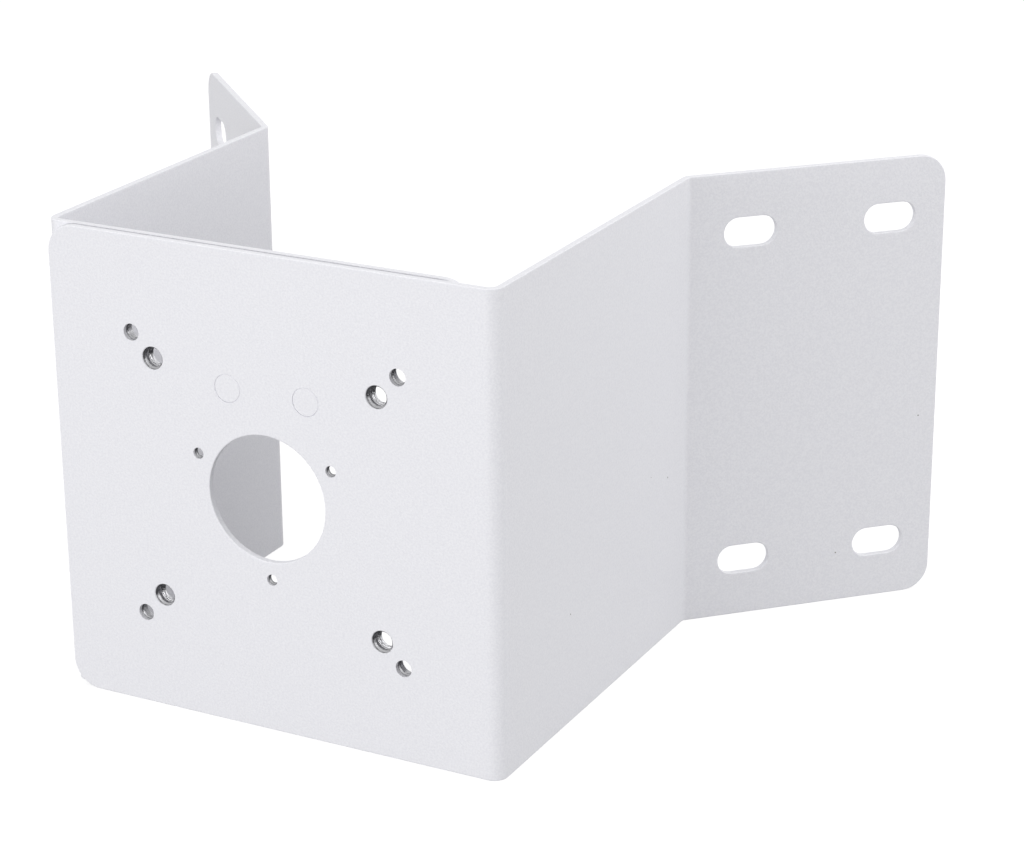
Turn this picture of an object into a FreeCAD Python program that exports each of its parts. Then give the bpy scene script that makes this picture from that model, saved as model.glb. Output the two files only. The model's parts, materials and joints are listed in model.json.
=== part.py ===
import FreeCAD, Part
import math
import os
import Sketcher
from FreeCAD import Placement, Rotation, Vector

# Camera corner mount bracket: two folded steel sheets, welded together at the front panel.
# The outer sheet is the visible front panel, the right side wall and the right flange. The
# inner sheet mirrors it on the left, and its panel lies behind the outer one. The flanges
# splay 45 degrees outwards, so that the bracket sits over the outside corner of a building.
#
# Each piece is drawn square to the front panel: X to the right, Y back from the panel's front
# face, Z up, with the origin at the cable hole's centre. The pieces are then turned about Z,
# so that the flanges lie along the part's X and Y. Lengths are millimetres, angles degrees.

SIZES = [
    ("height", 170.0, "height of both sheets"),
    ("wall_span", 173.0, "outer face of the left wall to outer face of the right wall"),
    ("hole_shift", 0.5, "cable hole's centre, to the left of the middle between the walls"),
    ("outer_depth", 145.0, "front face to the fold line of the right flange"),
    ("inner_depth", 139.5, "front face to the fold line of the left flange"),
    ("flange_length", 99.0, "flange from its fold line to its free edge"),
    ("splay_angle", 45.0, "turn of each flange outwards from its side wall"),
    ("sheet_thickness", 2.5, "steel sheet"),
    ("panel_gap", 1.0, "between the two front panels"),
    ("bend_radius", 2.5, "inside radius of every fold"),
    ("corner_radius", 10.0, "free corners of the panels and flanges"),
    ("edge_round", 0.4, "rounded arris of the cut edges"),
    ("outer_setback", 3.0, "outer panel's free edge, short of the left wall's outer face"),
    ("inner_setback", 11.0, "inner panel's free edge, short of the right wall's outer face"),
    ("cable_hole", 45.0, "cable hole in the outer panel, diameter"),
    ("cable_relief", 69.0, "wider hole in the inner panel, clear of the screw holes too, diameter"),
    ("large_hole", 8.0, "large tapped holes, diameter"),
    ("large_circle", 121.6, "bolt circle of the large tapped holes"),
    ("large_lead", 0.2, "lead-in chamfer of the large tapped holes"),
    ("small_hole", 6.0, "smaller tapped holes, diameter"),
    ("small_circle", 144.2, "bolt circle of the smaller tapped holes"),
    ("small_relief", 7.5, "clearance holes behind the smaller tapped holes, diameter"),
    ("screw_hole", 4.0, "three screw holes round the cable hole, diameter"),
    ("screw_circle", 57.8, "circle of the three screw holes"),
    ("screw_angle_right", 29.7, "right screw hole, turned from X"),
    ("screw_angle_left", 155.5, "left screw hole, turned from X"),
    ("screw_angle_low", 271.9, "lower screw hole, turned from X"),
    ("slot_length", 20.0, "flange slots, end to end"),
    ("slot_width", 11.0, "flange slots, across"),
    ("slot_shift", 1.0, "middle of the slot row, outwards from the flange's own middle"),
    ("slot_spacing", 54.0, "between slot centres along the flange"),
    ("slot_rise", 126.0, "between slot centres up the flange"),
    ("plug_size", 10.0, "plug welds above the cable hole, diameter"),
    ("plug_spacing", 30.0, "between the plug welds"),
    ("plug_height", 37.0, "plug welds above the cable hole's centre"),
    ("plug_shift", 1.3, "middle of the plug welds, to the right of the hole's centre"),
    ("plug_groove", 0.3, "chamfer that leaves a faint ring round each plug weld"),
    ("weld_end", 12.0, "seam weld stops this far from the top and bottom edges"),
]

# The turn that lays the flanges along the part's own axes.
FRAME_TURN = Placement(Vector(0, 0, 0), Rotation(Vector(0, 0, 1), -45))

# Distances that several features share, as expressions on the sheet.
TO_RIGHT_WALL = "(Sizes.wall_span / 2 + Sizes.hole_shift)"
TO_LEFT_WALL = "(Sizes.wall_span / 2 - Sizes.hole_shift)"
TO_OUTER_EDGE = f"({TO_LEFT_WALL} - Sizes.outer_setback)"
TO_INNER_EDGE = f"({TO_RIGHT_WALL} - Sizes.inner_setback)"
INNER_FACE = "(Sizes.sheet_thickness + Sizes.panel_gap)"
OUTSIDE_BEND = "(Sizes.bend_radius + Sizes.sheet_thickness)"

# Sketch geometry index and point of the sketch's own origin, and of its X axis.
ORIGIN = (-1, 1)
X_AXIS = -1

doc = FreeCAD.newDocument("corner_bracket")
sheet = doc.addObject("Spreadsheet::Sheet", "Sizes")
for row, (name, value, meaning) in enumerate(SIZES, start=1):
    sheet.set(f"A{row}", meaning)
    sheet.set(f"B{row}", str(value))
    sheet.setAlias(f"B{row}", name)
doc.recompute()


def number(expression):
    """Present value of an expression on the sheet."""
    return float(sheet.evalExpression(expression.replace("Sizes.", "")))


def new_body(label):
    """Empty body whose label names its file."""
    body = doc.addObject("PartDesign::Body", label)
    body.Label = label
    return body


def origin_feature(body, role):
    """Origin plane or axis of a body, found by its role."""
    return next(item for item in body.Origin.OriginFeatures if item.Role == role)


def new_sketch(body, name, plane):
    """Sketch attached to one of the body's own origin planes."""
    sketch = body.newObject("Sketcher::SketchObject", name)
    sketch.AttachmentSupport = [(origin_feature(body, plane), "")]
    sketch.MapMode = "FlatFace"
    return sketch


def constrain(sketch, kind, *args):
    """Driving constraint: the last argument is its expression on the sheet."""
    *geometry, expression = args
    index = sketch.addConstraint(Sketcher.Constraint(kind, *geometry, number(expression)))
    sketch.setExpression(f"Constraints[{index}]", expression)


def hold(sketch, kind, first, second, expression):
    """Signed distance from the first point to the second, whichever side it falls."""
    if number(expression) < 0:
        first, second, expression = second, first, f"-({expression})"
    constrain(sketch, kind, *first, *second, expression)


def add_circle(sketch, across, up, diameter):
    """Circle at a place given by expressions."""
    centre = Vector(number(across), number(up), 0)
    circle = sketch.addGeometry(Part.Circle(centre, Vector(0, 0, 1), number(diameter) / 2))
    hold(sketch, "DistanceX", ORIGIN, (circle, 3), across)
    hold(sketch, "DistanceY", ORIGIN, (circle, 3), up)
    constrain(sketch, "Diameter", circle, diameter)


def add_slot(sketch, across, up, length, width):
    """Level slot with round ends, about a centre given by expressions."""
    reach = f"(({length}) - ({width})) / 2"
    x, y, half, r = number(across), number(up), number(reach), number(width) / 2
    axis = Vector(0, 0, 1)
    left = Part.ArcOfCircle(Part.Circle(Vector(x - half, y, 0), axis, r), math.pi / 2, 1.5 * math.pi)
    right = Part.ArcOfCircle(Part.Circle(Vector(x + half, y, 0), axis, r), -math.pi / 2, math.pi / 2)
    top = Part.LineSegment(Vector(x + half, y + r, 0), Vector(x - half, y + r, 0))
    low = Part.LineSegment(Vector(x - half, y - r, 0), Vector(x + half, y - r, 0))
    left, low, right, top = sketch.addGeometry([left, low, right, top])
    for first, second in ((left, low), (low, right), (right, top), (top, left)):
        sketch.addConstraint(Sketcher.Constraint("Tangent", first, 2, second, 1))
    sketch.addConstraint(Sketcher.Constraint("Horizontal", low))
    constrain(sketch, "Radius", left, f"({width}) / 2")
    hold(sketch, "DistanceX", ORIGIN, (left, 3), f"{across} - {reach}")
    hold(sketch, "DistanceX", ORIGIN, (right, 3), f"{across} + {reach}")
    hold(sketch, "DistanceY", ORIGIN, (left, 3), up)


def cut_through(body, sketch, name):
    """Pocket a sketch right through the sheet metal."""
    before = body.Shape.Volume
    pocket = body.newObject("PartDesign::Pocket", name)
    pocket.Profile = sketch
    pocket.Type = "ThroughAll"
    doc.recompute()
    if not body.Shape.Volume < before:
        pocket.Reversed = True
        doc.recompute()
    return pocket


def middle(edge):
    """Point half way along an edge."""
    return edge.valueAt((edge.FirstParameter + edge.LastParameter) / 2)


def edges_at(feature, points):
    """Names of a feature's edges whose middles are the given points."""
    return [
        f"Edge{index}"
        for index, edge in enumerate(feature.Shape.Edges, start=1)
        if any(middle(edge).distanceToPoint(point) < 1e-3 for point in points)
    ]


def circles_at(feature, depth, radius):
    """Names of a feature's round edges of one radius, at one distance behind the front face."""
    return [
        f"Edge{index}"
        for index, edge in enumerate(feature.Shape.Edges, start=1)
        if isinstance(edge.Curve, Part.Circle)
        and abs(edge.Curve.Radius - radius) < 1e-4
        and abs(edge.Curve.Center.y - depth) < 1e-3
    ]


def sharp_edges(feature):
    """Names of a feature's edges where two faces meet at an angle."""
    names = []
    for index, edge in enumerate(feature.Shape.Edges, start=1):
        point = middle(edge)
        normals = []
        for face in feature.Shape.ancestorsOfType(edge, Part.Face):
            normals.append(face.normalAt(*face.Surface.parameter(point)))
        if len(normals) == 2 and math.degrees(normals[0].getAngle(normals[1])) > 20:
            names.append(f"Edge{index}")
    return names


def dress(body, kind, name, edges, prop, expression):
    """Fillet or chamfer of the body's present edges, with its size tied to the sheet."""
    base = body.Tip
    feature = body.newObject(f"PartDesign::{kind}", name)
    feature.Base = (base, edges)
    feature.setExpression(prop, expression)
    doc.recompute()
    return feature


def folded_blank(body, side, face, depth, to_wall, to_edge):
    """Panel, wall and flange of one sheet; side is 1 with the wall on the right, -1 on the left."""
    thick = number("Sizes.sheet_thickness")
    splay = math.radians(number("Sizes.splay_angle"))
    length = number("Sizes.flange_length")
    front, back = number(face), number(depth)
    wall, edge = side * number(to_wall), -side * number(to_edge)
    along = Vector(side * math.sin(splay), math.cos(splay), 0)
    across = Vector(-side * math.cos(splay), math.sin(splay), 0)
    fold = Vector(wall, back, 0)
    corners = [
        Vector(edge, front, 0),
        Vector(wall, front, 0),
        fold,
        fold + along * length,
        fold + along * length + across * thick,
        Vector(wall - side * thick, back + thick * math.tan(splay / 2), 0),
        Vector(wall - side * thick, front + thick, 0),
        Vector(edge, front + thick, 0),
    ]

    sketch = new_sketch(body, "FoldedSection", "XY_Plane")
    count = len(corners)
    sketch.addGeometry([Part.LineSegment(corners[i], corners[(i + 1) % count]) for i in range(count)])
    for i in range(count):
        sketch.addConstraint(Sketcher.Constraint("Coincident", i, 2, (i + 1) % count, 1))
    for line in (0, 6):
        sketch.addConstraint(Sketcher.Constraint("Horizontal", line))
    for line in (1, 5, 7):
        sketch.addConstraint(Sketcher.Constraint("Vertical", line))
    sketch.addConstraint(Sketcher.Constraint("Perpendicular", 2, 3))
    sketch.addConstraint(Sketcher.Constraint("Parallel", 2, 4))
    sign = "" if side > 0 else "-"
    other = "-" if side > 0 else ""
    hold(sketch, "DistanceX", ORIGIN, (0, 1), f"{other}{to_edge}")
    hold(sketch, "DistanceX", ORIGIN, (1, 1), f"{sign}{to_wall}")
    if front == 0:
        sketch.addConstraint(Sketcher.Constraint("PointOnObject", 0, 1, X_AXIS))
    else:
        constrain(sketch, "DistanceY", *ORIGIN, 0, 1, face)
    constrain(sketch, "DistanceY", *ORIGIN, 2, 1, depth)
    hold(sketch, "DistanceX", (2, 1), (3, 1), f"{sign}Sizes.flange_length * sin(Sizes.splay_angle)")
    hold(sketch, "DistanceY", (2, 1), (3, 1), "Sizes.flange_length * cos(Sizes.splay_angle)")
    constrain(sketch, "Distance", 3, "Sizes.sheet_thickness")
    hold(sketch, "DistanceX", (1, 1), (6, 1), f"{other}Sizes.sheet_thickness")
    constrain(sketch, "DistanceY", 1, 1, 6, 1, "Sizes.sheet_thickness")

    pad = body.newObject("PartDesign::Pad", "Blank")
    pad.Profile = sketch
    pad.SideType = "Symmetric"
    pad.setExpression("Length", "Sizes.height")
    doc.recompute()

    inside = edges_at(pad, [corners[2], corners[6]])
    bends = dress(body, "Fillet", "InsideBends", inside, "Radius", "Sizes.bend_radius")
    outside = edges_at(bends, [corners[1], corners[5]])
    bends = dress(body, "Fillet", "OutsideBends", outside, "Radius", OUTSIDE_BEND)

    half = Vector(0, 0, number("Sizes.height") / 2)
    ends = [(corners[0] + corners[7]) * 0.5, (corners[3] + corners[4]) * 0.5]
    free = edges_at(bends, [end + half for end in ends] + [end - half for end in ends])
    dress(body, "Fillet", "FreeCorners", free, "Radius", "Sizes.corner_radius")


def flange_slots(body, side, depth, to_wall):
    """Four level slots in the flange, cut from its front face."""
    sketch = new_sketch(body, "SlotRow", "XZ_Plane")
    sign = "" if side > 0 else "-"
    turn = Rotation(Vector(0, side, 0), 90 - number("Sizes.splay_angle"))
    sketch.AttachmentOffset = Placement(Vector(0, 0, 0), turn)
    sketch.setExpression("AttachmentOffset.Base.x", f"{sign}{to_wall}")
    sketch.setExpression("AttachmentOffset.Base.z", f"-{depth}")
    sketch.setExpression("AttachmentOffset.Rotation.Angle", "90 - Sizes.splay_angle")
    row = "Sizes.flange_length / 2 + Sizes.slot_shift"
    for step in ("-", "+"):
        place = f"{sign}({row} {step} Sizes.slot_spacing / 2)"
        add_slot(sketch, place, "Sizes.slot_rise / 2", "Sizes.slot_length", "Sizes.slot_width")
    pocket = cut_through(body, sketch, "UpperSlots")
    mirrored = body.newObject("PartDesign::Mirrored", "LowerSlots")
    mirrored.Originals = [pocket]
    mirrored.MirrorPlane = (origin_feature(body, "XY_Plane"), [""])
    body.Tip = mirrored
    doc.recompute()


def round_hole(body, name, diameter):
    """Round hole through the panel at the origin."""
    sketch = new_sketch(body, name + "Circle", "XZ_Plane")
    circle = sketch.addGeometry(Part.Circle(Vector(0, 0, 0), Vector(0, 0, 1), number(diameter) / 2))
    sketch.addConstraint(Sketcher.Constraint("Coincident", circle, 3, *ORIGIN))
    constrain(sketch, "Diameter", circle, diameter)
    cut_through(body, sketch, name)


def hole_circle(body, name, circle, diameter):
    """Four holes on a bolt circle, at 45 degrees to the panel's edges."""
    sketch = new_sketch(body, name + "Circle", "XZ_Plane")
    place = f"({circle}) / 2 * cos(45)"
    add_circle(sketch, place, place, diameter)
    pocket = cut_through(body, sketch, name)
    pattern = body.newObject("PartDesign::PolarPattern", name + "Pattern")
    pattern.Originals = [pocket]
    pattern.Axis = (origin_feature(body, "Y_Axis"), [""])
    pattern.Angle = 360
    pattern.Occurrences = 4
    body.Tip = pattern
    doc.recompute()


def screw_holes(body):
    """Three screw holes round the cable hole, unevenly spaced."""
    sketch = new_sketch(body, "ScrewHoleCircles", "XZ_Plane")
    for turn in ("Sizes.screw_angle_right", "Sizes.screw_angle_left", "Sizes.screw_angle_low"):
        across = f"Sizes.screw_circle / 2 * cos({turn})"
        up = f"Sizes.screw_circle / 2 * sin({turn})"
        add_circle(sketch, across, up, "Sizes.screw_hole")
    cut_through(body, sketch, "ScrewHoles")


def plug_circles(sketch):
    """The two plug welds' circles."""
    for sign in ("-", "+"):
        across = f"Sizes.plug_shift {sign} Sizes.plug_spacing / 2"
        add_circle(sketch, across, "Sizes.plug_height", "Sizes.plug_size")


def lead_in(body, face):
    """Chamfer at the large holes' mouths, on the panel face at one depth."""
    depth = number(face)
    radius = number("Sizes.large_hole") / 2
    mouths = circles_at(body.Tip, depth, radius)
    dress(body, "Chamfer", "LeadIn", mouths, "Size", "Sizes.large_lead")


def outer_sheet():
    """Front panel, right wall and right flange. Every screw hole is tapped in this panel."""
    body = new_body("outer_sheet")
    folded_blank(body, 1, "0", "Sizes.outer_depth", TO_RIGHT_WALL, TO_OUTER_EDGE)
    round_hole(body, "CableHole", "Sizes.cable_hole")
    flange_slots(body, 1, "Sizes.outer_depth", TO_RIGHT_WALL)
    dress(body, "Fillet", "SoftEdges", sharp_edges(body.Tip), "Radius", "Sizes.edge_round")
    hole_circle(body, "LargeHoles", "Sizes.large_circle", "Sizes.large_hole")
    hole_circle(body, "SmallHoles", "Sizes.small_circle", "Sizes.small_hole")
    screw_holes(body)
    sketch = new_sketch(body, "PlugCircles", "XZ_Plane")
    plug_circles(sketch)
    cut_through(body, sketch, "PlugHoles")
    lead_in(body, "0")
    return body


def inner_sheet():
    """Panel behind the front one, left wall and left flange. Only the large holes are tapped here."""
    body = new_body("inner_sheet")
    folded_blank(body, -1, INNER_FACE, "Sizes.inner_depth", TO_LEFT_WALL, TO_INNER_EDGE)
    round_hole(body, "CableRelief", "Sizes.cable_relief")
    flange_slots(body, -1, "Sizes.inner_depth", TO_LEFT_WALL)
    dress(body, "Fillet", "SoftEdges", sharp_edges(body.Tip), "Radius", "Sizes.edge_round")
    hole_circle(body, "LargeHoles", "Sizes.large_circle", "Sizes.large_hole")
    hole_circle(body, "SmallReliefs", "Sizes.small_circle", "Sizes.small_relief")
    lead_in(body, f"{INNER_FACE} + Sizes.sheet_thickness")
    return body


def seam_weld():
    """Bead in the groove between the outer panel's free edge and the left fold, ground smooth."""
    body = new_body("seam_weld")
    sketch = new_sketch(body, "BeadSection", "XY_Plane")
    radius = number(OUTSIDE_BEND)
    centre = Vector(radius - number(TO_LEFT_WALL), number(INNER_FACE) + radius, 0)
    edge_x = -number(TO_OUTER_EDGE)
    face = Vector(edge_x, number("Sizes.edge_round"), 0)
    to_face = face - centre
    root_angle = -math.acos((edge_x - centre.x) / radius)
    touch_angle = math.atan2(to_face.y, to_face.x) - math.acos(radius / to_face.Length)
    fold = Part.ArcOfCircle(Part.Circle(centre, Vector(0, 0, 1), radius), touch_angle, root_angle)
    fold, front, root = sketch.addGeometry([
        fold,
        Part.LineSegment(face, fold.StartPoint),
        Part.LineSegment(fold.EndPoint, face),
    ])
    sketch.addConstraint(Sketcher.Constraint("Tangent", front, 2, fold, 1))
    sketch.addConstraint(Sketcher.Constraint("Coincident", fold, 2, root, 1))
    sketch.addConstraint(Sketcher.Constraint("Coincident", root, 2, front, 1))
    sketch.addConstraint(Sketcher.Constraint("Vertical", root))
    constrain(sketch, "Radius", fold, OUTSIDE_BEND)
    hold(sketch, "DistanceX", ORIGIN, (fold, 3), f"{OUTSIDE_BEND} - {TO_LEFT_WALL}")
    hold(sketch, "DistanceY", ORIGIN, (fold, 3), f"{INNER_FACE} + {OUTSIDE_BEND}")
    hold(sketch, "DistanceX", ORIGIN, (front, 1), f"-{TO_OUTER_EDGE}")
    constrain(sketch, "DistanceY", *ORIGIN, front, 1, "Sizes.edge_round")
    pad = body.newObject("PartDesign::Pad", "Bead")
    pad.Profile = sketch
    pad.SideType = "Symmetric"
    pad.setExpression("Length", "Sizes.height - 2 * Sizes.weld_end")
    doc.recompute()
    return body


def plug_welds():
    """Two plugs that fill holes in the outer panel and hold the inner one, ground flush."""
    body = new_body("plug_welds")
    sketch = new_sketch(body, "PlugSection", "XZ_Plane")
    plug_circles(sketch)
    pad = body.newObject("PartDesign::Pad", "Plugs")
    pad.Profile = sketch
    pad.Reversed = True
    pad.setExpression("Length", INNER_FACE)
    doc.recompute()
    rims = circles_at(pad, 0, number("Sizes.plug_size") / 2)
    dress(body, "Chamfer", "Rings", rims, "Size", "Sizes.plug_groove")
    return body


bodies = [outer_sheet(), inner_sheet(), seam_weld(), plug_welds()]
for body in bodies:
    body.Placement = FRAME_TURN
doc.recompute()

for item in doc.Objects:
    if "Invalid" in item.State or "Error" in item.State:
        raise RuntimeError(f"{item.Name} failed: {item.State}")
for body in bodies:
    if body.Shape.isNull() or not body.Shape.isValid():
        raise RuntimeError(f"{body.Label} has no valid shape")

os.makedirs("parts", exist_ok=True)
for body in bodies:
    body.Shape.exportStep(f"parts/{body.Label}.step")
    box = body.Shape.BoundBox
    print(
        f"{body.Label}: {len(body.Shape.Solids)} solids, {body.Shape.Volume:.0f} mm3, "
        f"X {box.XMin:.1f} to {box.XMax:.1f}, Y {box.YMin:.1f} to {box.YMax:.1f}, "
        f"Z {box.ZMin:.1f} to {box.ZMax:.1f}"
    )
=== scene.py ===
# %% [markdown]
# # A corner bracket in powder coat
#
# This lesson dresses a welded steel bracket for a security camera. It sits over the outside corner of
# a building: two folded sheets share a front panel, and each carries one side wall and one flange.
# The steel parts arrive as finished solids, at their real size, in metres. What is left for Blender is
# what the eye reads as real: the grain of the powder coat, the bare threads in the tapped holes, and
# the light.
#
# The solids are loaded first, and nothing below moves or reshapes them.

# %% Load the solids
import json
import math

import bpy
from mathutils import Matrix, Vector


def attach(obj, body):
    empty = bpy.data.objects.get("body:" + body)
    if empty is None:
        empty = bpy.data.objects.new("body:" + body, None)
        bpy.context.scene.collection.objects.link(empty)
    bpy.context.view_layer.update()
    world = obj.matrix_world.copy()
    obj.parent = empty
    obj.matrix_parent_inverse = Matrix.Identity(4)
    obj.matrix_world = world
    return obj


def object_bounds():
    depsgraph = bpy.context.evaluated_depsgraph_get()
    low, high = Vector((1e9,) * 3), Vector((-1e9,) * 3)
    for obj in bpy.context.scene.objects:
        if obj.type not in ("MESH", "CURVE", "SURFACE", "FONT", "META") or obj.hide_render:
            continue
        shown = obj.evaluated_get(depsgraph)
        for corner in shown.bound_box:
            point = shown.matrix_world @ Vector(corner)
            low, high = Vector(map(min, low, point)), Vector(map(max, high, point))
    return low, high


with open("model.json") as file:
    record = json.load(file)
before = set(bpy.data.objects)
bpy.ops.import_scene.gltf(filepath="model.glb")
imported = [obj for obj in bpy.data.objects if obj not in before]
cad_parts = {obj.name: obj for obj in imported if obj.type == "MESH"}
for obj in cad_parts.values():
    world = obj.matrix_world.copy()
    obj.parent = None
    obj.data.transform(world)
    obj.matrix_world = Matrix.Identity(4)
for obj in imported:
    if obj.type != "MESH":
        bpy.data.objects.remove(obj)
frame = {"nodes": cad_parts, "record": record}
solid_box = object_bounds()
mounts = {mount["name"]: mount for mount in frame["record"]["mounts"]}
print("solids:", ", ".join(sorted(frame["nodes"])))

# %% [markdown]
# ## Two ways to say where things are
#
# The bracket was drawn square to its front panel: X to the right, Y back into the bracket, Z up, from
# the middle of the cable hole's front edge. It was then turned, so that its flanges lie along X and Y.
# Holes and camera are easier to think of in the drawing, so one function takes a place from the
# drawing to the part. Millimetres go in and metres come out.

# %% From the drawing to the part
MM = 0.001
DRAWING_TURN = Matrix.Rotation(math.radians(-45), 3, "Z")


def from_drawing(x, y, z):
    """Place in the part, in metres, of a place in the drawing, in millimetres."""
    return DRAWING_TURN @ Vector((x, y, z)) * MM


INTO_PANEL = DRAWING_TURN @ Vector((0, 1, 0))
PANEL_CENTRE = Vector(mounts["cable_hole"]["pos_m"])
print("the panel looks along", -INTO_PANEL)

# %% [markdown]
# ## The camera first
#
# The photograph was taken from the front, a little to the right and from above, with a long lens: the
# panel's edges converge only slightly. These values come from matching the panel's corners, the hole
# circles and the slots to their places in the photograph. Setting the camera first means that every
# later choice can be judged in the right view.

# %% Camera
IMAGE_WIDTH = 1024
FOCAL_PIXELS = 2860.8
CAMERA_AZIMUTH = math.radians(27.62)
CAMERA_ELEVATION = math.radians(20.42)
CAMERA_ROLL = math.radians(-0.41)
CAMERA_DISTANCE = 997.6
CAMERA_AIM = (46.85, 86.28, 6.33)
SENSOR_WIDTH = 36.0
CLIP_END = 20


def camera_axes():
    """The camera's right, up and back directions in the part."""
    back = Vector((
        math.sin(CAMERA_AZIMUTH) * math.cos(CAMERA_ELEVATION),
        -math.cos(CAMERA_AZIMUTH) * math.cos(CAMERA_ELEVATION),
        math.sin(CAMERA_ELEVATION),
    ))
    level = Vector((0, 0, 1)).cross(back).normalized()
    upright = back.cross(level)
    right = level * math.cos(CAMERA_ROLL) + upright * math.sin(CAMERA_ROLL)
    return [DRAWING_TURN @ axis for axis in (right, back.cross(right), back)]


def add_camera():
    """Camera at the photograph's viewpoint."""
    right, up, back = camera_axes()
    data = bpy.data.cameras.new("photo_camera")
    data.sensor_width = SENSOR_WIDTH
    data.lens = FOCAL_PIXELS * SENSOR_WIDTH / IMAGE_WIDTH
    data.clip_end = CLIP_END
    camera = bpy.data.objects.new("photo_camera", data)
    turn = Matrix((right, up, back)).transposed().to_4x4()
    place = from_drawing(*CAMERA_AIM) + back * CAMERA_DISTANCE * MM
    camera.matrix_world = Matrix.Translation(place) @ turn
    bpy.context.scene.collection.objects.link(camera)
    bpy.context.scene.camera = camera
    return camera


camera = add_camera()
print("lens", round(camera.data.lens, 1), "mm")

# %% [markdown]
# ## A helper for nodes and a helper for colour
#
# Materials and Geometry Nodes trees are both built from nodes. One function adds a node of any kind:
# it sets the node's own settings and fills its inputs. An input takes a plain value, an output of
# another node, or another node by itself, which stands for its first output. The Mix node has one
# set of sockets for each type of data, all under the same names, so its colour sockets go by number.
#
# A colour picked from a screen is written as a hex value in sRGB, and the renderer works in linear
# light, so each hex value is turned to linear once, here.

# %% Node and colour helpers
MIX_A = 6
MIX_B = 7
MIX_RESULT = 2


def add_node(tree, kind, inputs=None, **settings):
    """New node in a tree; inputs maps a socket's name or number to a value, an output or a node."""
    node = tree.nodes.new(kind)
    for name, value in settings.items():
        setattr(node, name, value)
    for socket, value in (inputs or {}).items():
        if isinstance(value, bpy.types.Node):
            value = value.outputs[0]
        if isinstance(value, bpy.types.NodeSocket):
            tree.links.new(value, node.inputs[socket])
        else:
            node.inputs[socket].default_value = value
    return node


def linear(hex_colour):
    """Linear RGBA of an sRGB hex colour such as "#F0F0F2"."""
    values = [int(hex_colour[i:i + 2], 16) / 255 for i in (1, 3, 5)]
    return [v / 12.92 if v <= 0.04045 else ((v + 0.055) / 1.055) ** 2.4 for v in values] + [1.0]


def new_material(name):
    """Empty node material, and its tree."""
    material = bpy.data.materials.new(name)
    material.use_nodes = True
    material.node_tree.nodes.clear()
    return material, material.node_tree


# %% [markdown]
# ## Powder coat
#
# The bracket is sprayed with dry polyester powder, which is then baked. The powder melts and flows,
# but not flat: a fine-textured grade leaves pimples under a millimetre across, on top of a slow
# waviness that painters call orange peel. The eye reads three things from it. The sheen is low and
# broken up, so that grazing light sparkles on the grain. The colour is a cool white. And here and
# there is a dark pin-point, a bit of dust that was baked in.
#
# The grain is a bump from two noise layers, with a third, slow one for the orange peel. Each is
# scaled by its real width: a noise feature is about one over the scale wide, in metres.

# %% Powder coat material
COAT_WHITE = "#EDEDF1"
COAT_SHADE = "#E6E6EB"
SPECK_GREY = "#8E8C8A"
GRAIN_WIDTH = 0.7 * MM
FINE_GRAIN_WIDTH = 0.35 * MM
PEEL_WIDTH = 6.0 * MM
SPECK_SPACING = 22.0 * MM
SPECK_RADIUS = 0.3 * MM
TONE_RANGE = (0.35, 0.65)
COAT_ROUGHNESS = (0.42, 0.6)


def powder_coat():
    """Fine-textured white polyester powder coat."""
    material, tree = new_material("powder_coat_white")
    place = add_node(tree, "ShaderNodeTexCoord").outputs["Object"]
    grain = add_node(tree, "ShaderNodeTexNoise", {
        "Vector": place, "Scale": 1 / GRAIN_WIDTH, "Detail": 2.0, "Roughness": 0.55,
    })
    fine = add_node(tree, "ShaderNodeTexNoise", {
        "Vector": place, "Scale": 1 / FINE_GRAIN_WIDTH, "Detail": 1.0,
    })
    peel = add_node(tree, "ShaderNodeTexNoise", {
        "Vector": place, "Scale": 1 / PEEL_WIDTH, "Detail": 1.0,
    })
    specks = add_node(tree, "ShaderNodeTexVoronoi", {
        "Vector": place, "Scale": 1 / SPECK_SPACING, "Randomness": 1.0,
    })
    in_speck = add_node(tree, "ShaderNodeMath", {
        0: specks, 1: SPECK_RADIUS / SPECK_SPACING,
    }, operation="LESS_THAN")
    tone = add_node(tree, "ShaderNodeMapRange", {
        "Value": grain, "From Min": TONE_RANGE[0], "From Max": TONE_RANGE[1],
    })
    coat = add_node(tree, "ShaderNodeMix", {
        0: tone, MIX_A: linear(COAT_SHADE), MIX_B: linear(COAT_WHITE),
    }, data_type="RGBA")
    colour = add_node(tree, "ShaderNodeMix", {
        0: in_speck, MIX_A: coat.outputs[MIX_RESULT], MIX_B: linear(SPECK_GREY),
    }, data_type="RGBA")
    roughness = add_node(tree, "ShaderNodeMapRange", {
        "Value": fine, "From Min": 0.3, "From Max": 0.7,
        "To Min": COAT_ROUGHNESS[0], "To Max": COAT_ROUGHNESS[1],
    })
    wavy = add_node(tree, "ShaderNodeBump", {
        "Strength": 0.35, "Distance": 0.15 * MM, "Height": peel,
    })
    grainy = add_node(tree, "ShaderNodeBump", {
        "Strength": 0.5, "Distance": 0.1 * MM, "Height": grain, "Normal": wavy,
    })
    finest = add_node(tree, "ShaderNodeBump", {
        "Strength": 0.4, "Distance": 0.05 * MM, "Height": fine, "Normal": grainy,
    })
    shader = add_node(tree, "ShaderNodeBsdfPrincipled", {
        "Base Color": colour.outputs[MIX_RESULT], "Roughness": roughness, "IOR": 1.5, "Normal": finest,
    })
    add_node(tree, "ShaderNodeOutputMaterial", {"Surface": shader})
    return material


coat = powder_coat()
for node in frame["nodes"].values():
    node.data.materials.clear()
    node.data.materials.append(coat)
print("coated", len(frame["nodes"]), "solids")

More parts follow.
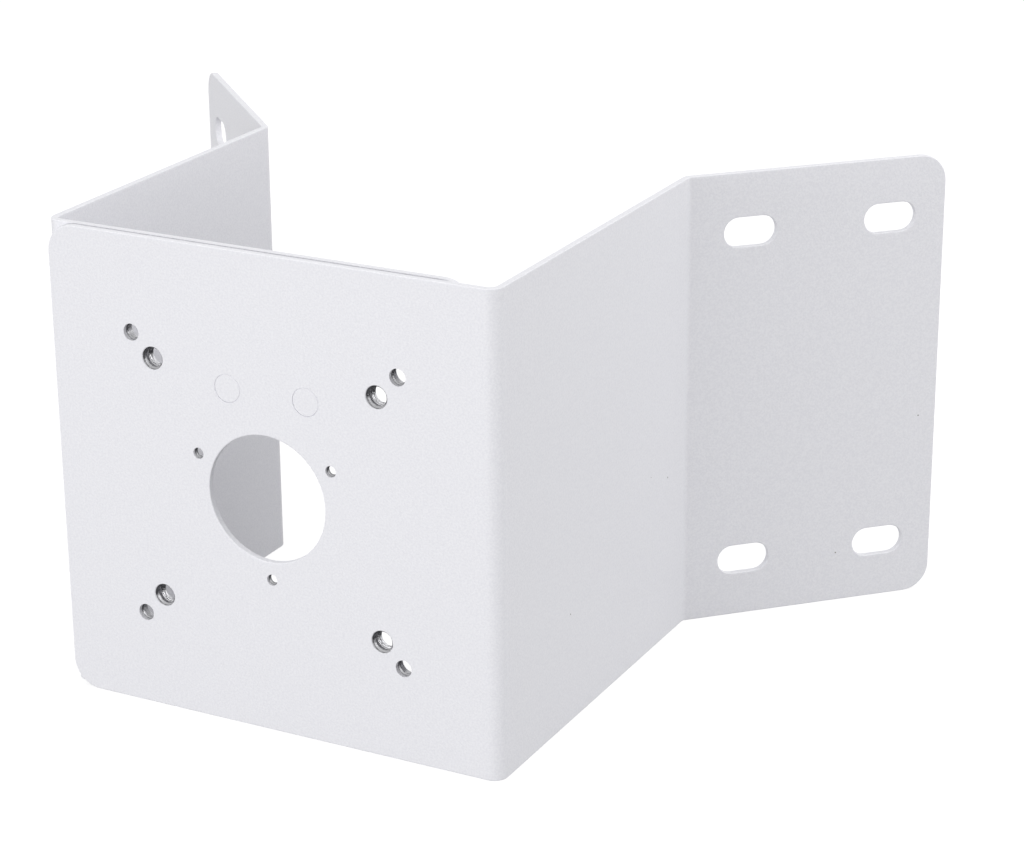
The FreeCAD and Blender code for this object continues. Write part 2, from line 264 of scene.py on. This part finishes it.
# %% [markdown]
# ## Cut steel
#
# In the photograph the holes are dark grey inside. That fits bare steel: tapped after coating, or with
# the coat chased out, and darkened by cutting oil. Its colours are also set much darker than bare steel
# is, as painted shade for the inside of the holes. Deep in each large hole the lower side is much
# brighter; this is a painted highlight: the flanks that look up are given a near-white steel colour.
# So the height of the surface normal, in the object's own axes, decides where the painted highlight
# lies, and noise breaks up its border. The other threads stay mostly dark, so they get a second version
# of the same steel with less painted highlight. All of this is a reading of very few pixels, not a known
# finish.

# %% Thread steel material
# Dark bare steel: partly oil, partly painted shade for the inside of the holes.
OIL_AND_SHADE_STEEL = "#2C2C2E"
WORN_AND_SHADE_STEEL = "#5A5A5E"
# Near-white steel for the faces that look up: a painted highlight.
PAINTED_HIGHLIGHT_STEEL = "#EFEFF2"
CHATTER_WIDTH = 0.5 * MM
STEEL_ROUGHNESS = (0.25, 0.45)
PAINTED_HIGHLIGHT_RANGE = (0.55, 0.85)
PAINTED_HIGHLIGHT_DEEP = 1.0
PAINTED_HIGHLIGHT_LESS = 0.45


def thread_steel(name, painted_highlight):
    """Bare steel as a tap leaves it, its colours dark as partly painted shade, with a painted highlight
    on the faces that look up; the second argument sets how strong that painted highlight is.
    """
    material, tree = new_material(name)
    place = add_node(tree, "ShaderNodeTexCoord").outputs
    chatter = add_node(tree, "ShaderNodeTexNoise", {
        "Vector": place["Object"], "Scale": 1 / CHATTER_WIDTH, "Detail": 3.0, "Roughness": 0.6,
    })
    stain = add_node(tree, "ShaderNodeMapRange", {
        "Value": chatter, "From Min": TONE_RANGE[0], "From Max": TONE_RANGE[1],
    })
    # Faces that look up are pushed towards the near-white steel, broken up by noise: a painted
    # highlight.
    upward = add_node(tree, "ShaderNodeSeparateXYZ", {0: place["Normal"]}).outputs["Z"]
    ragged = add_node(tree, "ShaderNodeMath", {0: chatter, 1: 1.0, 2: upward}, operation="MULTIPLY_ADD")
    bright = add_node(tree, "ShaderNodeMapRange", {
        "Value": ragged, "From Min": PAINTED_HIGHLIGHT_RANGE[0], "From Max": PAINTED_HIGHLIGHT_RANGE[1], "To Max": painted_highlight,
    })
    bare = add_node(tree, "ShaderNodeMix", {
        0: stain, MIX_A: linear(OIL_AND_SHADE_STEEL), MIX_B: linear(WORN_AND_SHADE_STEEL),
    }, data_type="RGBA")
    colour = add_node(tree, "ShaderNodeMix", {
        0: bright, MIX_A: bare.outputs[MIX_RESULT], MIX_B: linear(PAINTED_HIGHLIGHT_STEEL),
    }, data_type="RGBA")
    roughness = add_node(tree, "ShaderNodeMapRange", {
        "Value": chatter, "To Min": STEEL_ROUGHNESS[0], "To Max": STEEL_ROUGHNESS[1],
    })
    bump = add_node(tree, "ShaderNodeBump", {
        "Strength": 0.25, "Distance": 0.05 * MM, "Height": chatter,
    })
    shader = add_node(tree, "ShaderNodeBsdfPrincipled", {
        "Base Color": colour.outputs[MIX_RESULT], "Metallic": 1.0,
        "Roughness": roughness, "Normal": bump,
    })
    add_node(tree, "ShaderNodeOutputMaterial", {"Surface": shader})
    return material


# Two copies of the steel: the inner large threads get the full painted highlight, the other threads
# less.
painted_highlight_steel = thread_steel("tapped_steel_painted_highlight", PAINTED_HIGHLIGHT_DEEP)
dark_steel = thread_steel("tapped_steel_dark", PAINTED_HIGHLIGHT_LESS)
print("thread materials:", painted_highlight_steel.name, dark_steel.name)

# %% [markdown]
# ## Screw threads from one rule
#
# A screw thread could be swept along a helix, but then its ends stand out of the sheet. A tapped
# hole in thin steel is the other way round: the thread is the hole's whole wall, cut off flat by both
# faces of the sheet. So the wall is a grid, wrapped into a tube, and one rule gives each point's
# distance from the axis: it rises and falls once per pitch, and the rise climbs by one pitch for each
# turn. Where the tap runs in and out, the rise fades to nothing. The wall is then thickened outwards
# into the steel, so that the sleeve is a closed solid.
#
# One tree makes every sleeve. The object that carries it holds only bare points, one in the middle of
# each hole, and the tree puts a sleeve on each.

# %% Geometry Nodes tree for a threaded sleeve
THREAD_INPUTS = {
    "Major Radius": "Float",
    "Thread Depth": "Float",
    "Pitch": "Float",
    "Start": "Float",
    "Length": "Float",
    "Run In": "Float",
    "Run Out": "Float",
    "Set In": "Float",
    "Around": "Int",
    "Along": "Int",
    "Direction": "Vector",
    "Material": "Material",
}
ROOT_FLAT = 0.12
CREST_FLAT = 0.18
MERGE = 0.001 * MM


def thread_fade(tree, given, along):
    """Share of the full thread depth, which drops to nothing at both ends of the wall."""
    left = add_node(tree, "ShaderNodeMath", {0: given["Length"], 1: along}, operation="SUBTRACT")
    run_in = add_node(tree, "ShaderNodeMath", {0: along, 1: given["Run In"]}, operation="DIVIDE")
    run_out = add_node(tree, "ShaderNodeMath", {0: left, 1: given["Run Out"]}, operation="DIVIDE")
    nearest = add_node(tree, "ShaderNodeMath", {0: run_in, 1: run_out}, operation="MINIMUM")
    return add_node(tree, "ShaderNodeMath", {0: nearest, 1: 1.0}, operation="MINIMUM")


def wall_radius(tree, given, turn, along):
    """Distance of the thread's wall from the axis, from the turn round it and the way along it."""
    depth = add_node(tree, "ShaderNodeMath", {0: along, 1: given["Start"]}, operation="ADD")
    pitches = add_node(tree, "ShaderNodeMath", {0: depth, 1: given["Pitch"]}, operation="DIVIDE")
    climb = add_node(tree, "ShaderNodeMath", {0: pitches, 1: turn}, operation="SUBTRACT")
    saw = add_node(tree, "ShaderNodeMath", {0: climb}, operation="FRACT")
    swing = add_node(tree, "ShaderNodeMath", {0: saw, 1: 2.0, 2: -1.0}, operation="MULTIPLY_ADD")
    flank = add_node(tree, "ShaderNodeMath", {0: swing}, operation="ABSOLUTE")
    ridge = add_node(tree, "ShaderNodeMapRange", {
        "Value": flank, "From Min": ROOT_FLAT, "From Max": 1 - CREST_FLAT,
    })
    full = add_node(tree, "ShaderNodeMath", {0: ridge, 1: given["Thread Depth"]}, operation="MULTIPLY")
    rise = add_node(tree, "ShaderNodeMath", {
        0: full, 1: thread_fade(tree, given, along),
    }, operation="MULTIPLY")
    return add_node(tree, "ShaderNodeMath", {0: given["Major Radius"], 1: rise}, operation="SUBTRACT")


def threaded_wall(tree, given):
    """Grid rolled into the thread's wall, about the Z axis."""
    across = add_node(tree, "ShaderNodeMath", {0: given["Around"], 1: 1}, operation="ADD")
    down = add_node(tree, "ShaderNodeMath", {0: given["Along"], 1: 1}, operation="ADD")
    grid = add_node(tree, "GeometryNodeMeshGrid", {
        "Size X": 1.0, "Size Y": 1.0, "Vertices X": across, "Vertices Y": down,
    })
    here = add_node(tree, "GeometryNodeInputPosition")
    spot = add_node(tree, "ShaderNodeSeparateXYZ", {0: here}).outputs
    turn = add_node(tree, "ShaderNodeMath", {0: spot["X"], 1: 0.5}, operation="ADD")
    share = add_node(tree, "ShaderNodeMath", {0: spot["Y"], 1: 0.5}, operation="ADD")
    along = add_node(tree, "ShaderNodeMath", {0: share, 1: given["Length"]}, operation="MULTIPLY")
    depth = add_node(tree, "ShaderNodeMath", {0: along, 1: given["Start"]}, operation="ADD")
    angle = add_node(tree, "ShaderNodeMath", {0: turn, 1: math.tau}, operation="MULTIPLY")
    spoke = add_node(tree, "ShaderNodeCombineXYZ", {
        "X": add_node(tree, "ShaderNodeMath", {0: angle}, operation="COSINE"),
        "Y": add_node(tree, "ShaderNodeMath", {0: angle}, operation="SINE"),
    })
    flat = add_node(tree, "ShaderNodeVectorMath", {
        0: spoke, "Scale": wall_radius(tree, given, turn, along),
    }, operation="SCALE")
    lift = add_node(tree, "ShaderNodeCombineXYZ", {"Z": depth})
    place = add_node(tree, "ShaderNodeVectorMath", {0: flat, 1: lift}, operation="ADD")
    rolled = add_node(tree, "GeometryNodeSetPosition", {"Geometry": grid, "Position": place})
    return add_node(tree, "GeometryNodeMergeByDistance", {"Geometry": rolled, "Distance": MERGE})


def thickened(tree, given, wall):
    """The wall as a closed sleeve, with a plain round outside set a little into the steel."""
    shell = add_node(tree, "GeometryNodeExtrudeMesh", {
        "Mesh": wall, "Offset Scale": given["Set In"], "Individual": False,
    })
    here = add_node(tree, "GeometryNodeInputPosition")
    flat = add_node(tree, "ShaderNodeVectorMath", {0: here, 1: (1, 1, 0)}, operation="MULTIPLY")
    height = add_node(tree, "ShaderNodeVectorMath", {0: here, 1: (0, 0, 1)}, operation="MULTIPLY")
    spoke = add_node(tree, "ShaderNodeVectorMath", {0: flat}, operation="NORMALIZE")
    reach = add_node(tree, "ShaderNodeMath", {
        0: given["Major Radius"], 1: given["Set In"],
    }, operation="ADD")
    outside = add_node(tree, "ShaderNodeVectorMath", {0: spoke, "Scale": reach}, operation="SCALE")
    place = add_node(tree, "ShaderNodeVectorMath", {0: outside, 1: height}, operation="ADD")
    thick = add_node(tree, "GeometryNodeSetPosition", {
        "Geometry": shell.outputs["Mesh"], "Selection": shell.outputs["Top"], "Position": place,
    })
    inside = add_node(tree, "GeometryNodeFlipFaces", {"Mesh": wall})
    both = add_node(tree, "GeometryNodeJoinGeometry")
    tree.links.new(thick.outputs[0], both.inputs[0])
    tree.links.new(inside.outputs[0], both.inputs[0])
    return add_node(tree, "GeometryNodeMergeByDistance", {"Geometry": both, "Distance": MERGE})


def thread_tree():
    """Sleeve with an internal screw thread, on every point of the object."""
    tree = bpy.data.node_groups.new("threaded_sleeve", "GeometryNodeTree")
    tree.is_modifier = True
    tree.interface.new_socket("Geometry", in_out="INPUT", socket_type="NodeSocketGeometry")
    for name, kind in THREAD_INPUTS.items():
        tree.interface.new_socket(name, in_out="INPUT", socket_type=f"NodeSocket{kind}")
    tree.interface.new_socket("Geometry", in_out="OUTPUT", socket_type="NodeSocketGeometry")
    given = add_node(tree, "NodeGroupInput").outputs
    sleeve = thickened(tree, given, threaded_wall(tree, given))
    aim = add_node(tree, "FunctionNodeAlignRotationToVector", {"Vector": given["Direction"]}, axis="Z")
    placed = add_node(tree, "GeometryNodeInstanceOnPoints", {
        "Points": given["Geometry"], "Instance": sleeve, "Rotation": aim,
    })
    real = add_node(tree, "GeometryNodeRealizeInstances", {0: placed})
    steel = add_node(tree, "GeometryNodeSetMaterial", {"Geometry": real, "Material": given["Material"]})
    add_node(tree, "NodeGroupOutput", {0: steel})
    return tree


sleeve_tree = thread_tree()
print("sleeve tree:", len(sleeve_tree.nodes), "nodes")

# %% [markdown]
# ## Where each thread starts and ends
#
# The large holes are tapped through both sheets, one after the other, with the same tap, so the helix
# carries on across the gap. The two smaller sizes are tapped in the front sheet only: behind them the
# inner sheet has clearance. Their mouths are lined with coat for the first millimetre or so, and the
# bare thread starts below it. The clearance holes of the middle size also look dark, so they are
# taken to be drilled through the coat: a thread with next to no depth stands for the drill's marks.
#
# Pitch and depth are those of the standard coarse metric thread of each size. Each thread starts and
# ends a little inside the faces of its sheet, which are told here by their depth below the front.

# %% Thread sizes
SHEET = 2.5
PANEL_GAP = 1.0
INNER_FRONT = SHEET + PANEL_GAP
INNER_BACK = INNER_FRONT + SHEET
LARGE_THREAD = {"pitch": 1.25, "depth": 0.68}
SMALL_THREAD = {"pitch": 1.0, "depth": 0.54}
SCREW_THREAD = {"pitch": 0.7, "depth": 0.38}
# Near-flat thread that lines the clearance holes with dark steel.
CLEARANCE_LINING = {"pitch": 0.35, "depth": 0.04}
CLEARANCE_RADIUS = 3.75
PATTERN_ANGLE = 45
LARGE_START = 0.4
SMALL_START = 1.4
SCREW_START = 0.87
LARGE_RUN_IN = 0.6
FACE_CLEAR = 0.1
AROUND_SEGMENTS = 64
STEPS_PER_PITCH = 12
SET_IN = 0.05


def circle_of_holes(mount):
    """Hole centres of a bolt circle on the front face."""
    radius = mount["dims"]["pcd_mm"] / 2
    count = mount["dims"]["count"]
    angles = [math.radians(PATTERN_ANGLE + 360 / count * i) for i in range(count)]
    return [from_drawing(radius * math.cos(a), 0, radius * math.sin(a)) for a in angles]


def mesh_of(obj):
    """Plain mesh of an object as its modifiers leave it."""
    graph = bpy.context.evaluated_depsgraph_get()
    return bpy.data.meshes.new_from_object(obj.evaluated_get(graph))


def threads(name, centres, radius, size, start, end, steel=dark_steel, run_in=0.3, run_out=0.2):
    """Threaded sleeves of one size in one sheet; the sizes are in millimetres."""
    points = bpy.data.meshes.new(name + "_points")
    points.from_pydata([tuple(centre) for centre in centres], [], [])
    obj = bpy.data.objects.new(name, points)
    bpy.context.scene.collection.objects.link(obj)
    modifier = obj.modifiers.new("threads", "NODES")
    modifier.node_group = sleeve_tree
    values = {
        "Major Radius": radius * MM,
        "Thread Depth": size["depth"] * MM,
        "Pitch": size["pitch"] * MM,
        "Start": start * MM,
        "Length": (end - start) * MM,
        "Run In": run_in * MM,
        "Run Out": run_out * MM,
        "Set In": SET_IN * MM,
        "Around": AROUND_SEGMENTS,
        "Along": math.ceil((end - start) / size["pitch"] * STEPS_PER_PITCH),
        "Direction": tuple(INTO_PANEL),
        "Material": steel,
    }
    for socket in sleeve_tree.interface.items_tree:
        if socket.in_out == "INPUT" and socket.name in values:
            modifier[socket.identifier] = values[socket.name]
    obj.data = mesh_of(obj)
    obj.modifiers.clear()
    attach(obj, "root")
    print(name, len(centres), "holes,", len(obj.data.polygons), "faces")
    return obj


# %% Cut the threads
large = mounts["camera_holes_large"]
small = mounts["camera_holes_small"]
screws = [mount for name, mount in mounts.items() if name.startswith("screw_hole")]
large_centres = circle_of_holes(large)
small_centres = circle_of_holes(small)
screw_centres = [Vector(mount["pos_m"]) for mount in screws]
large_radius = large["dims"]["hole_r_mm"]
small_radius = small["dims"]["hole_r_mm"]
screw_radius = screws[0]["dims"]["r_mm"]
outer_end = SHEET - FACE_CLEAR
inner_start = INNER_FRONT + FACE_CLEAR
inner_end = INNER_BACK - FACE_CLEAR
threads(
    "large_threads_outer", large_centres, large_radius, LARGE_THREAD, LARGE_START, outer_end,
    run_in=LARGE_RUN_IN,
)
threads(
    "large_threads_inner", large_centres, large_radius, LARGE_THREAD, inner_start, inner_end,
    steel=painted_highlight_steel,
)
threads("small_threads", small_centres, small_radius, SMALL_THREAD, SMALL_START, outer_end)
threads("small_clearance", small_centres, CLEARANCE_RADIUS, CLEARANCE_LINING, inner_start, inner_end)
threads("screw_threads", screw_centres, screw_radius, SCREW_THREAD, SCREW_START, outer_end)

# %% [markdown]
# ## Floor and light
#
# The photograph shows the bracket on pure white, so the floor and the background are white to the
# camera and to reflections, while the floor still takes a soft shadow. As a source of light the floor
# is grey: a whiter one would fill the hollow of the bracket, which is darker in the photograph.
#
# The light is that of a white studio. An even surround does most of the work. A wide, low strip of
# light in front makes the front panel the brightest upright face, from top to bottom. A soft box far
# round to the right lifts the right wall and the inside of the left one. A weak soft box overhead
# picks out the cut edges along the top.

# %% Floor
FLOOR_SIZE = 12.0
FLOOR_GREY = "#888889"
FLOOR_GLOW = 0.85


def floor_material():
    """White floor: it glows to the camera and to reflections, and keeps shadows."""
    material, tree = new_material("studio_floor")
    path = add_node(tree, "ShaderNodeLightPath").outputs
    direct = add_node(tree, "ShaderNodeMath", {
        0: path["Is Camera Ray"], 1: path["Is Transmission Ray"],
    }, operation="MAXIMUM")
    seen = add_node(tree, "ShaderNodeMath", {0: direct, 1: path["Is Glossy Ray"]}, operation="MAXIMUM")
    strength = add_node(tree, "ShaderNodeMath", {0: seen, 1: FLOOR_GLOW}, operation="MULTIPLY")
    glow = add_node(tree, "ShaderNodeEmission", {"Strength": strength})
    paint = add_node(tree, "ShaderNodeBsdfDiffuse", {"Color": linear(FLOOR_GREY)})
    shown = add_node(tree, "ShaderNodeAddShader", {0: paint, 1: glow})
    add_node(tree, "ShaderNodeOutputMaterial", {"Surface": shown})
    return material


def add_floor():
    """Level floor under the bracket."""
    half = FLOOR_SIZE / 2
    low = solid_box[0][2]
    mesh = bpy.data.meshes.new("floor")
    corners = [(-half, -half, low), (half, -half, low), (half, half, low), (-half, half, low)]
    mesh.from_pydata(corners, [], [(0, 1, 2, 3)])
    mesh.materials.append(floor_material())
    obj = bpy.data.objects.new("floor", mesh)
    bpy.context.scene.collection.objects.link(obj)
    return obj


floor = add_floor()
print("floor at", round(solid_box[0][2], 4), "m")

# %% Light
WORLD_LIGHT = 0.74
WORLD_SEEN = 1.0
SOFT_BOXES = {
    "front_strip": {"place": (-100, -1400, 75), "size": (1200, 320), "power": 10.0},
    "side_box": {"place": (1250, 700, 300), "size": (1200, 1200), "power": 8.6},
    "top_box": {"place": (0, 100, 1400), "size": (1200, 1200), "power": 4.0},
}


def add_world():
    """White surround: full white to the camera and to reflections, softer as light."""
    world = bpy.data.worlds.new("studio")
    world.use_nodes = True
    tree = world.node_tree
    tree.nodes.clear()
    path = add_node(tree, "ShaderNodeLightPath").outputs
    direct = add_node(tree, "ShaderNodeMath", {
        0: path["Is Camera Ray"], 1: path["Is Transmission Ray"],
    }, operation="MAXIMUM")
    seen = add_node(tree, "ShaderNodeMath", {0: direct, 1: path["Is Glossy Ray"]}, operation="MAXIMUM")
    strength = add_node(tree, "ShaderNodeMapRange", {
        "Value": seen, "To Min": WORLD_LIGHT, "To Max": WORLD_SEEN,
    })
    sky = add_node(tree, "ShaderNodeBackground", {
        "Color": (1.0, 1.0, 1.0, 1.0), "Strength": strength,
    })
    add_node(tree, "ShaderNodeOutputWorld", {"Surface": sky})
    bpy.context.scene.world = world


def add_soft_box(name, place, size, power):
    """Large area light that faces the bracket; its place and size are in the drawing's millimetres."""
    data = bpy.data.lights.new(name, "AREA")
    data.energy = power
    data.shape = "RECTANGLE"
    data.size, data.size_y = (side * MM for side in size)
    box = bpy.data.objects.new(name, data)
    start = from_drawing(*place)
    turn = (PANEL_CENTRE - start).to_track_quat("-Z", "Y")
    box.matrix_world = Matrix.Translation(start) @ turn.to_matrix().to_4x4()
    bpy.context.scene.collection.objects.link(box)


add_world()
for name, settings in SOFT_BOXES.items():
    add_soft_box(name, **settings)
bpy.context.scene.view_settings.view_transform = "Standard"
